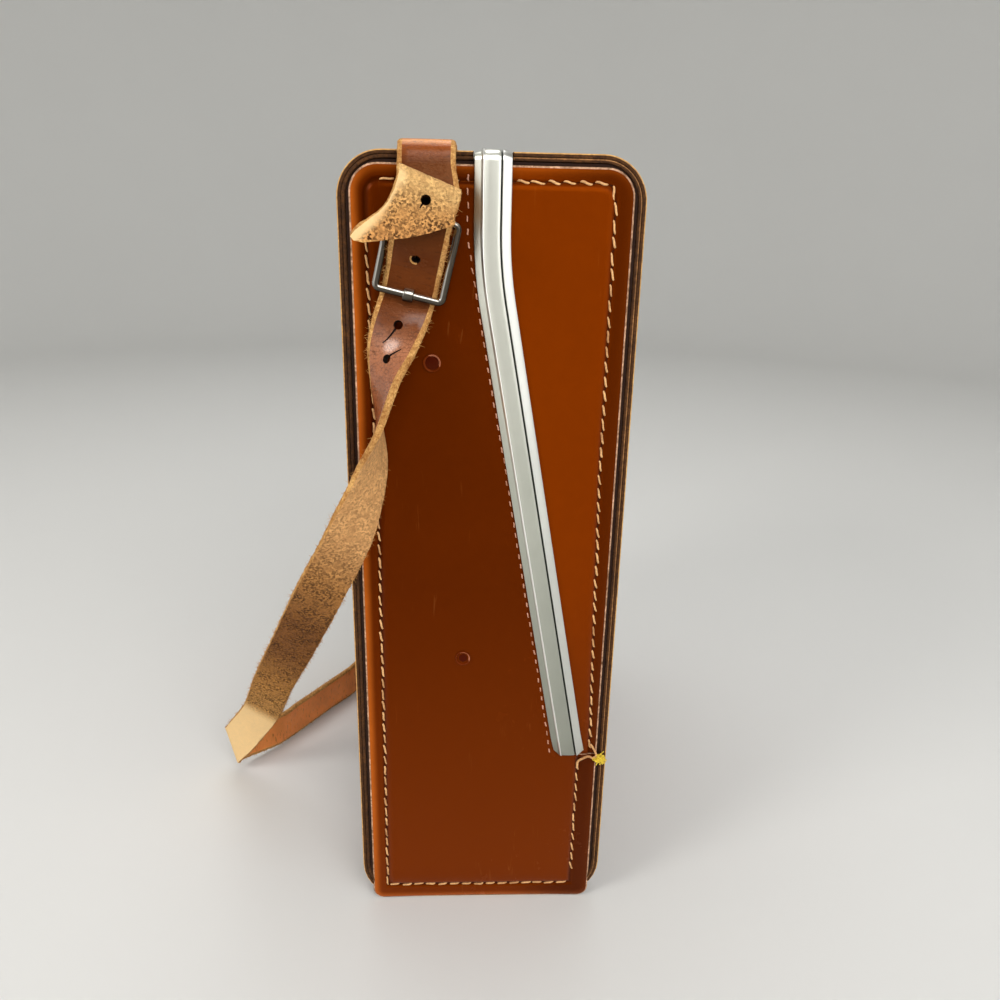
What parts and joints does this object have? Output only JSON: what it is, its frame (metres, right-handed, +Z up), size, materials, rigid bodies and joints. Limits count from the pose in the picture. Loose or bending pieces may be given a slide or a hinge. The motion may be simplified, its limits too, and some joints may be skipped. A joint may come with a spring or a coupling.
{
  "type": "leather camera case",
  "caption": "Tall hard leather camera case with sewn inset ends, a front lid hinged low down, a slanting metal rail along the opening and a buckled shoulder strap.",
  "frame": {"origin": "middle of the case's flat underside", "axes": "+Z up, +X from the back towards the hinged lid, +Y from the near end with the buckle towards the far end"},
  "size_m": [0.1854, 0.2534, 0.3098],
  "materials": {
    "body_leather": "polished tan leather",
    "lid_leather": "polished tan leather",
    "strap_leather": "worn strap leather with a rough flesh side",
    "rail_metal": "satin",
    "buckle_metal": "tarnished nickel plate",
    "rivet_metal": "dark lacquer"
  },
  "bodies": {
    "case": {"body_band": "body_leather", "end_panel_near": "body_leather", "end_panel_far": "body_leather", "end_rivet_near_upper": "rivet_metal", "end_rivet_near_lower": "rivet_metal", "end_rivet_far_upper": "rivet_metal", "end_rivet_far_lower": "rivet_metal", "strap_short": "strap_leather", "buckle_frame": "buckle_metal", "buckle_prong": "buckle_metal", "strap_long": "strap_leather", "strap_rivet_near": "rivet_metal", "strap_rivet_far": "rivet_metal"},
    "lid": {"lid_band": "lid_leather", "lid_panel_near": "lid_leather", "lid_panel_far": "lid_leather", "lid_rail": "rail_metal", "lid_clasp": "rail_metal"}
  },
  "joints": [
    {"name": "lid_hinge", "type": "hinge", "parent": "case", "child": "lid", "pos_m": [0.051, 0, 0.075], "axis": [0, 1, 0], "range_deg": [0, 100]}
  ]
}
